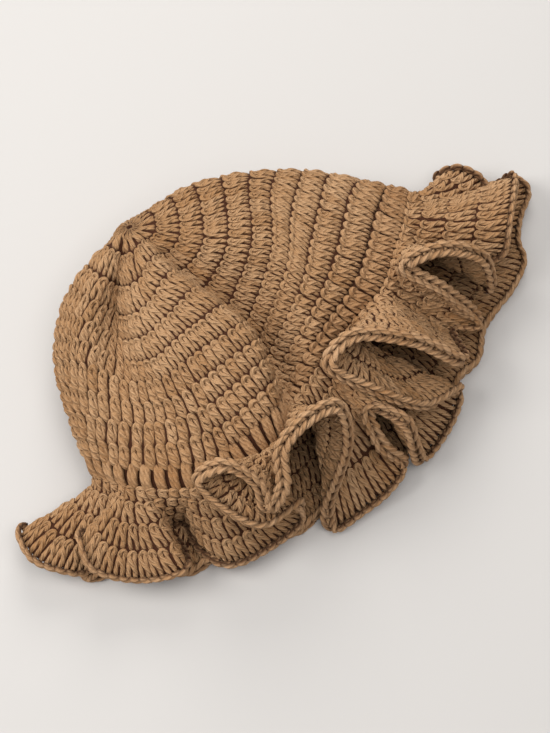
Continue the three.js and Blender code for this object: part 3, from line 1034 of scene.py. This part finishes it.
# The gather band's yarn: the same tan a little darker, as painted shade of the pleats round it.
TAN_SHADED = YarnFinish("tan_yarn_shaded", (185, 147, 109), (139, 95, 54), (48, 20, 6))
TAN_EDGE = YarnFinish("tan_yarn_edge", (197, 160, 123), (153, 108, 65), (56, 26, 8))
# A dark backing in the shadow colour behind the stitches: painted shade where the gaps between
# them show.
SHADE_BACKING = YarnFinish("painted_shade_backing", (80, 43, 17), (60, 30, 11), (60, 30, 11), sheen=0.0)


@dataclass(frozen=True)
class Handwork:
    """How unevenly the stitches are worked, as spreads in shares of a stitch."""

    shift: float = 0.03
    lean: float = 0.045
    rise: float = 0.014
    puff: float = 0.04
    tone: float = 0.22

    def tones(self, rng: np.random.Generator, number: int) -> np.ndarray:
        """A shade for each stitch, from 0, light, to 1, deep."""
        return np.clip(rng.normal(0.5, self.tone, (number, 1)), 0.0, 1.0)


@dataclass
class CrochetPart:
    """A part of the hat that is worked in one yarn and stands for one node of the CAD.

    A stitch is gauge mm wide, and up to stretch wider round the stitch of the rim named
    stretched. Stitches in columns end at column_to. Yarn thins where the wall narrows, keeps
    a share, held, of its thickness at the narrowest place that it has passed, and thickens up
    to widest. A stitch leans by skew_limit of its width at the most, and no yarn lies further
    in than innermost.
    """

    surface: HatSurface
    node: str
    slot: str
    yarn: YarnFinish
    gauge: float = 5.8
    stretch: float = 0.25
    stretched: float = 33.0
    stretch_reach: float = 8.0
    column_to: float = 45.0
    yarn_radius: float = 1.3
    widest: float = 1.35
    held: float = 0.3
    skew_limit: float = 0.9
    innermost: float = 0.02
    sides: int = 8
    seed: int = 1
    hand: Handwork = Handwork()

    def finish(self, piece: bpy.types.Object, yarn: YarnFinish) -> bpy.types.Object:
        """Gives a piece its yarn and its place in the frame.

        Args:
            piece: the piece.
            yarn: what it is made of.

        Returns:
            The same piece.
        """
        piece.data.materials.append(yarn.material())
        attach(piece, "root")
        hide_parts(self.node)
        LOG.info("%s: %d faces", piece.name, len(piece.data.polygons))
        return piece

    def work_round(
        self,
        data: MeshData,
        sheet: Sheet,
        kind: StitchKind,
        middles: np.ndarray,
        widths: np.ndarray,
        head: float,
        foot: float,
        steps: int = 2,
        thin: float = 0.34,
    ) -> None:
        """Works one round of stitches onto the sheet.

        Args:
            data: the mesh that the yarn is added to.
            sheet: the surface that the round lies in.
            kind: the stitch.
            middles: where the middle of each stitch is, across the sheet.
            widths: how wide each stitch is, in the same measure.
            head: where the stitches' heads are, out along the sheet.
            foot: where their feet are.
            steps: points between one point of the stitch's table and the next.
            thin: least thickness of the yarn where stitches crowd together.
        """
        rng = np.random.default_rng(self.seed + int(head * SEEDS_A_ROUND))
        number = len(middles)
        shift = rng.normal(0.0, self.hand.shift, (number, 1))
        lean = rng.normal(0.0, self.hand.lean, (number, 1))
        rise = rng.normal(0.0, self.hand.rise, (number, 1))
        puff = rng.normal(1.0, self.hand.puff, (number, 1))
        tone = self.hand.tones(rng, number)
        centre = (head + foot) / 2
        _, _, unit_width, skew = sheet.frame(middles, np.full_like(middles, centre))
        most = self.skew_limit * widths / abs(foot - head)
        skew = 0.0 if sheet.is_ruffle else evened(np.clip(skew, -most, most))[:, None]
        spread = (np.sqrt(self.gauge / (unit_width * widths)) * widths)[:, None]
        for path in strand_paths(kind, steps):
            across, up, proud, thick = path.T
            side = across[None] + shift + lean * up[None]
            out = foot + (head - foot) * (up[None] + rise)
            out = np.clip(out, self.innermost, sheet.most)
            spot = middles[:, None] - side * spread + skew * (out - centre)
            place, facing, width, _ = sheet.frame(spot, out)
            crowd = np.clip(width * widths[:, None] / self.gauge, thin, self.widest)
            narrowest = np.minimum.accumulate(crowd, axis=1)
            crowd = narrowest * self.held + crowd * (1.0 - self.held)
            place = place + facing * (proud[None] * np.minimum(crowd, 1.0))[..., None]
            radius = self.yarn_radius * thick[None] * puff * crowd
            whole = np.ones_like(radius)
            # Painted shade: strands that sink under the wall's middle are darkened towards the
            # shadow colour.
            depth = 0.0 if sheet.is_ruffle else np.clip(-SINK_SHADE_FROM - proud, 0.0, 1.0)
            place = raised(place, radius + YARN_LIE)
            strands = Strands(
                place, facing, radius, tone * whole, depth * whole, sheet.is_ruffle
            )
            data.add_strands(strands, self.sides)

    def work_crown(
        self, data: MeshData, sheet: Sheet, middles: np.ndarray, widths: np.ndarray,
        number: int, column_from: float,
    ) -> None:
        """Works a round of the crown, with its stitches in columns on the stretched side.

        Args:
            data: the mesh that the yarn is added to.
            sheet: the surface that the round lies in.
            middles: where the middle of each stitch is, across the sheet.
            widths: how wide each stitch is, in the same measure.
            number: the round.
            column_from: the place across the sheet where the columns start.
        """
        is_column = (middles > column_from) & (middles < self.column_to)
        for kind, chosen in (
            (StitchKind.COLUMN_POST, is_column), (StitchKind.POST, ~is_column),
        ):
            if chosen.any():
                self.work_round(
                    data, sheet, kind, middles[chosen], widths[chosen],
                    number - 1.0, float(number),
                )

    def spaced(
        self, sheet: Sheet, around: float, out: float, count: int | None = None, turn: float = 0.0
    ) -> tuple[np.ndarray, np.ndarray]:
        """Spaces the stitches of a round evenly along it.

        Args:
            sheet: the surface that the round lies in.
            around: how far across the sheet the round goes before it closes.
            out: where it lies, out along the sheet.
            count: how many stitches it has; by default as many as the gauge gives.
            turn: share of a stitch that the round is turned by.

        Returns:
            Where the middle of each stitch is across the sheet, and how wide it is there.
        """
        fine = np.linspace(0.0, around, SPACING_STEPS + 1)
        places = sheet.place(fine, np.full_like(fine, out))
        steps = np.linalg.norm(np.diff(places, axis=0), axis=1)
        if not sheet.is_ruffle:
            aside = (fine[1:] - self.stretched) / self.stretch_reach
            steps = steps / (1.0 + self.stretch * np.exp(-(aside**2)))
        travel = np.concatenate([[0.0], np.cumsum(steps)])
        count = count or int(round(travel[-1] / self.gauge))
        LOG.info("%s at %.2f: %.0f mm, %d stitches", self.node, out, travel[-1], count)
        laps, share = np.divmod((np.arange(count + 1) + turn) / count, 1.0)
        edges = laps * around + np.interp(share * travel[-1], travel, fine)
        return (edges[1:] + edges[:-1]) / 2, np.diff(edges)

    def shade_backing(
        self, name: str, sheet: Sheet, across: np.ndarray, outs: np.ndarray,
        half: float = 0.35, sunk: float = 0.1,
    ) -> bpy.types.Object:
        """Lays the thin dark backing that closes the gaps between the stitches, as painted shade.

        Args:
            name: the piece's name.
            sheet: the surface that it lies in.
            across: places across the sheet, all the way round.
            outs: places out along it.
            half: half of its thickness in millimetres.
            sunk: how far it lies inside the middle of the wall.

        Returns:
            The piece.
        """
        spot, out = np.meshgrid(across, outs)
        place, facing, _, _ = sheet.frame(spot, out)
        data = MeshData()
        data.add_shell(
            raised(place + facing * (half - sunk), GROUND_TOP_LIE),
            raised(place - facing * (half + sunk), GROUND_FOOT_LIE),
        )
        return self.finish(data.build(name), SHADE_BACKING)


@dataclass
class CrownTop(CrochetPart):
    """The domed top: six rounds that each add sixteen stitches.

    Its stretched side is worked in columns from the column round on. The yarn may thin more
    in the first round, which closes the centre, than in those before the columns.
    """

    rounds: int = 6
    added: int = 16
    turn: float = 0.2
    first_thin: float = 0.22
    next_thin: float = 0.45
    column_round: int = 4
    column_from: float = 31.0
    hole: float = 0.04
    ground_rows: int = 25

    def build(self) -> list[bpy.types.Object]:
        """Builds the stitches and the dark backing of painted shade under them.

        Returns:
            The two pieces.
        """
        sheet = Sheet(self.surface, False, RIM_ROUND)
        data = MeshData()
        for number in range(1, self.rounds + 1):
            middles, widths = self.spaced(
                sheet, STITCHES, number - 0.5, self.added * number, self.turn * number
            )
            if number < self.column_round:
                self.work_round(
                    data, sheet, StitchKind.POST, middles, widths, number - 1.0, float(number),
                    thin=self.first_thin if number == 1 else self.next_thin,
                )
            else:
                self.work_crown(data, sheet, middles, widths, number, self.column_from)
        stitches = self.finish(data.build("crown_top_stitches"), self.yarn)
        shade_backing = self.shade_backing(
            "crown_top_shade_backing", sheet, GROUND_SPOTS,
            np.linspace(self.hole, self.rounds, self.ground_rows),
        )
        return [stitches, shade_backing]


@dataclass
class SideWall(CrochetPart):
    """The straight side: four rounds of the same number of stitches."""

    first: int = 7
    last: int = 10
    stitches: int = 96
    turn: float = 0.16
    column_from: float = 26.5
    ground_rows: int = 17

    def build(self) -> list[bpy.types.Object]:
        """Builds the stitches and the dark backing of painted shade under them.

        Returns:
            A piece for each round, and the backing.
        """
        sheet = Sheet(self.surface, False, RIM_ROUND)
        made = []
        for number in range(self.first, self.last + 1):
            data = MeshData()
            middles, widths = self.spaced(
                sheet, STITCHES, number - 0.5, self.stitches, self.turn * number
            )
            self.work_crown(data, sheet, middles, widths, number, self.column_from)
            made.append(self.finish(data.build(f"side_wall_round_{number}"), self.yarn))
        shade_backing = self.shade_backing(
            "side_wall_shade_backing", sheet, GROUND_SPOTS,
            np.linspace(self.first - 1.0, self.last, self.ground_rows),
        )
        return [*made, shade_backing]


@dataclass
class GatherBand(CrochetPart):
    """The round above the ruffle, whose posts stand apart where the brim pulls on them."""

    opens: float = 21.0
    closes: float = 66.0
    stitches: int = 88
    turn: float = 1.6
    ground_rows: int = 5
    ground_sunk: float = 0.8

    def build(self) -> list[bpy.types.Object]:
        """Builds the posts and the dark backing of painted shade behind them.

        Returns:
            The two pieces.
        """
        sheet = Sheet(self.surface, False, RIM_ROUND)
        data = MeshData()
        head = RIM_ROUND - 1.0
        middles, widths = self.spaced(
            sheet, STITCHES, RIM_ROUND - 0.5, self.stitches, self.turn
        )
        is_open = (middles > self.opens) & (middles < self.closes)
        for kind, chosen in ((StitchKind.OPEN_POST, is_open), (StitchKind.POST, ~is_open)):
            self.work_round(
                data, sheet, kind, middles[chosen], widths[chosen], head, RIM_ROUND,
            )
        posts = self.finish(data.build("gather_band_posts"), self.yarn)
        shade_backing = self.shade_backing(
            "gather_band_shade_backing", sheet, GROUND_SPOTS,
            np.linspace(head, RIM_ROUND, self.ground_rows), sunk=self.ground_sunk,
        )
        return [posts, shade_backing]


@dataclass
class Ruffle(CrochetPart):
    """The brim: four rounds of tall stitches, each longer round the hem than the last.

    They reach out to the share given, and the braid of the hem takes up the rest.
    """

    rounds: int = 4
    reach: float = 0.97
    thin: float = 0.62
    ground_steps: int = 6
    ground_rows: int = 22
    ground_half: float = 0.25

    def build(self) -> list[bpy.types.Object]:
        """Builds each round and the dark backing of painted shade under them.

        Returns:
            A piece for each round, and the backing.
        """
        sheet = Sheet(self.surface, True, 1.0)
        made = []
        for number in range(self.rounds):
            data = MeshData()
            head = self.reach * number / self.rounds
            foot = self.reach * (number + 1) / self.rounds
            middles, widths = self.spaced(
                sheet, self.surface.hem.period, (head + foot) / 2
            )
            self.work_round(
                data, sheet, StitchKind.TALL_POST, middles, widths, head, foot, thin=self.thin,
            )
            made.append(self.finish(data.build(f"ruffle_round_{number + 1}"), self.yarn))
        knots = np.append(self.surface.turn_knots, self.surface.hem.period)
        across = np.concatenate([
            np.linspace(start, end, self.ground_steps, endpoint=False)
            for start, end in zip(knots[:-1], knots[1:])
        ])
        made.append(self.shade_backing(
            "ruffle_shade_backing", sheet, across, np.linspace(0.0, self.reach, self.ground_rows),
            half=self.ground_half, sunk=0.0,
        ))
        return made


@dataclass
class EdgeTrim(CrochetPart):
    """The braid of chain stitches that finishes the hem.

    A chain is two strands that leave the hem close together, arch over it and spread to
    either side of the next chain. The length and the overlap are in pitches, hem and inside
    are shares of the way out, and apart, spread, arch and sunk are in mm.
    """

    pitch: float = 6.2
    points: int = 12
    length: float = 1.75
    overlap: float = 0.4
    hem: float = 0.995
    inside: float = 0.93
    apart: float = 0.35
    spread: float = 2.9
    spread_speed: float = 1.3
    spread_bend: float = 0.9
    arch: float = 1.5
    sunk: float = 1.1
    end_thick: float = 0.55
    swell: float = 0.5
    swell_bend: float = 0.7
    lean: float = 0.6
    shadow_fade: float = 1.9

    def build(self) -> list[bpy.types.Object]:
        """Builds the braid.

        Returns:
            The piece, in a list.
        """
        sheet = Sheet(self.surface, True, 1.0)
        fine = np.linspace(0.0, self.surface.hem.period, 2 * SPACING_STEPS + 1)
        steps = np.diff(self.surface.ruffle(fine, np.full_like(fine, 1.0)), axis=0)
        travel = np.concatenate([[0.0], np.cumsum(np.linalg.norm(steps, axis=1))])
        LOG.info("length of the hem: %.0f mm", travel[-1])
        links = int(round(travel[-1] / self.pitch))
        tone = self.hand.tones(np.random.default_rng(self.seed), links)
        share = np.linspace(0.0, 1.0, self.points)
        along = np.arange(links)[:, None] + share[None] * self.length - self.overlap
        spot = np.interp((along % links) * travel[-1] / links, travel, fine)
        place, facing, _, _ = sheet.frame(spot, np.full_like(spot, self.hem))
        outward = unit(place - self.surface.ruffle(spot, np.full_like(spot, self.inside)))
        rise = np.sin(np.pi * share)
        proud = self.arch * rise - self.sunk
        thick = self.end_thick + self.swell * rise**self.swell_bend
        radius = self.yarn_radius * thick[None] * np.ones((links, 1))
        # Painted shade: each chain's ends, where they go into the hem, are darkened towards the
        # shadow colour.
        depth = np.clip(1.0 - rise * self.shadow_fade, 0.0, 1.0)[None] * np.ones((links, 1))
        opening = np.clip(share * self.spread_speed, 0.0, 1.0) ** self.spread_bend
        data = MeshData()
        for side in (-1.0, 1.0):
            aside = side * (self.apart + self.spread * opening)
            middle = place + facing * aside[None, :, None] + outward * proud[None, :, None]
            middle = raised(middle, radius + YARN_LIE)
            up = unit(outward + facing * side * self.lean)
            strands = Strands(middle, up, radius, tone * np.ones_like(radius), depth)
            data.add_strands(strands, self.sides)
        return [self.finish(data.build("edge_braid"), self.yarn)]


@dataclass(frozen=True)
class Lamp:
    """A soft square light: its name, place and side in metres, power in watts and colour."""

    name: str
    place: tuple[float, float, float]
    size: float
    power: float
    colour: tuple[float, float, float]

    def hang(self) -> None:
        """Hangs the light so that it looks at the hat."""
        bpy.ops.object.light_add(type="AREA", location=self.place)
        lamp = bpy.context.object
        lamp.name = self.name
        lamp.data.size = self.size
        lamp.data.energy = self.power
        lamp.data.color = self.colour
        lamp.rotation_euler = (-Vector(self.place)).to_track_quat("-Z", "Y").to_euler()


LAMPS = (
    Lamp("key_light", (-0.92, 0.72, 1.25), 0.9, 20.5, (1.0, 0.985, 0.965)),
    Lamp("fill_light", (0.05, -0.3, 1.6), 1.2, 13.0, (1.0, 0.98, 0.96)),
    Lamp("back_light", (0.75, 0.95, 0.9), 0.8, 11.0, (1.0, 0.98, 0.95)),
)


@dataclass
class Studio:
    """The table, the lights and the camera round the hat."""

    azimuth: float = -40.0
    elevation: float = 72.0
    distance: float = 951.9
    lens: float = 85.0
    sensor: float = 36.0
    target: tuple[float, float, float] = (0.0, 0.0, 30.0)
    table_size: float = 8.0
    table_colour: tuple[float, float, float] = (193, 190, 187)
    table_roughness: float = 0.7
    sky_colour: tuple[float, float, float, float] = (0.96, 0.975, 1.0, 1.0)
    sky_strength: float = 0.36

    def floor(self) -> None:
        """Lays the pale table top."""
        bpy.ops.object.select_all(action="DESELECT")
        bpy.ops.mesh.primitive_plane_add(size=self.table_size, location=(0.0, 0.0, 0.0))
        floor = bpy.context.object
        floor.name = "table_top"
        made = bpy.data.materials.new("table_paint")
        made.use_nodes = True
        shader = made.node_tree.nodes["Principled BSDF"]
        shader.inputs["Base Color"].default_value = linear(self.table_colour)
        shader.inputs["Roughness"].default_value = self.table_roughness
        floor.data.materials.append(made)

    def lights(self) -> None:
        """Hangs the soft lights and lights an even sky."""
        for lamp in LAMPS:
            lamp.hang()
        world = bpy.data.worlds.new("studio_sky")
        bpy.context.scene.world = world
        world.use_nodes = True
        sky = world.node_tree.nodes["Background"]
        sky.inputs["Color"].default_value = self.sky_colour
        sky.inputs["Strength"].default_value = self.sky_strength

    def camera(self) -> None:
        """Sets the camera up, looking down at the hat."""
        turn, lift = math.radians(self.azimuth), math.radians(self.elevation)
        back = Vector((
            math.sin(turn) * math.cos(lift), -math.cos(turn) * math.cos(lift), math.sin(lift),
        ))
        right = Vector((math.cos(turn), math.sin(turn), 0.0))
        aim = (Vector(self.target) - Vector(MIDDLE)) * MILLIMETRE
        bpy.ops.object.camera_add(location=aim + back * self.distance * MILLIMETRE)
        camera = bpy.context.object
        camera.name = "camera"
        axes = Matrix((right, back.cross(right), back)).transposed()
        camera.rotation_euler = axes.to_euler()
        camera.data.sensor_fit = "VERTICAL"
        camera.data.sensor_height = self.sensor
        camera.data.lens = self.lens
        bpy.context.scene.camera = camera

    def build(self) -> None:
        """Sets up the camera, the table and the lights."""
        self.camera()
        self.floor()
        self.lights()
        bpy.context.scene.view_settings.view_transform = "Standard"


def main() -> None:
    """Builds the hat, part by part, and the studio round it."""
    logging.basicConfig(level=logging.INFO, format="%(name)s: %(message)s")
    Studio().build()
    surface = HatSurface()
    parts = (
        CrownTop(surface, "crown_top", "yarn", TAN, seed=11),
        SideWall(surface, "side_wall", "yarn", TAN, seed=23),
        GatherBand(surface, "gather_band", "yarn_deep", TAN_SHADED, seed=37),
        Ruffle(surface, "ruffle", "yarn", TAN, gauge=6.2, sides=6, yarn_radius=1.24, seed=41),
        EdgeTrim(surface, "edge_trim", "yarn_edge", TAN_EDGE, yarn_radius=1.5, seed=53),
    )
    for part in parts:
        for piece in part.build():
            LOG.info("%s stands for %s", piece.name, part.node)


if __name__ == "__main__":
    main()
